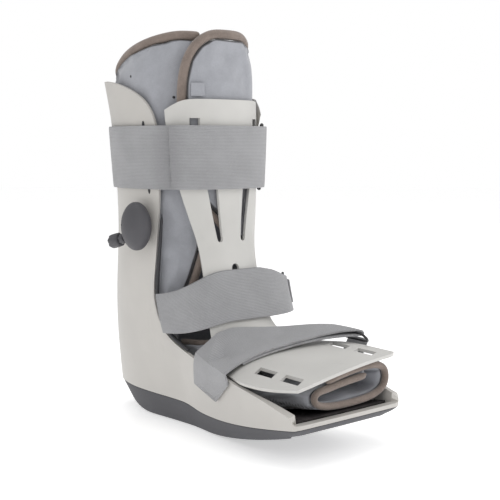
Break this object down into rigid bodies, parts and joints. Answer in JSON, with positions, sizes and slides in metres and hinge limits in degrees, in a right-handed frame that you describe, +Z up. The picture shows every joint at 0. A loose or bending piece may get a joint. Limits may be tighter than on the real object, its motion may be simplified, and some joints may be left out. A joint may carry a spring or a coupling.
{
  "type": "medical walking boot",
  "caption": "Medical walking boot with a rocker sole, an open plastic shell, a padded liner, a slotted front plate, hook-and-loop straps with rings and an air pump bulb.",
  "frame": {"origin": "on the sole's flat tread, straight under the leg's axis", "axes": "+Z up the leg, -Y towards the toes, -X towards the side that carries the pump"},
  "size_m": [0.163, 0.306, 0.3667],
  "materials": {
    "outsole": "fine matt",
    "shell": "satin",
    "plate": "satin",
    "insole": "matt foam",
    "liner": "brushed",
    "binding": "woven",
    "strap": "woven",
    "trim": "matt",
    "ring": "satin",
    "pump": "satin"
  },
  "bodies": {
    "root": {"outsole": "outsole", "shell": "shell", "insole": "insole", "shin_plate": "plate", "liner_leg": "liner", "liner_foot": "liner", "liner_tab": "liner", "binding_collar": "binding", "binding_ankle_near": "binding", "binding_ankle_far": "binding", "binding_instep_near": "binding", "binding_instep_far": "binding", "binding_toe": "binding", "shell_trim_near": "trim", "shell_trim_far": "trim", "calf_strap": "strap", "ankle_strap": "strap", "forefoot_strap": "strap", "ankle_anchor": "strap", "forefoot_anchor": "strap", "calf_ring": "ring", "ankle_ring": "ring", "forefoot_ring": "ring", "pump_bulb": "pump", "pump_collar": "ring", "pump_valve": "pump"}
  },
  "joints": []
}
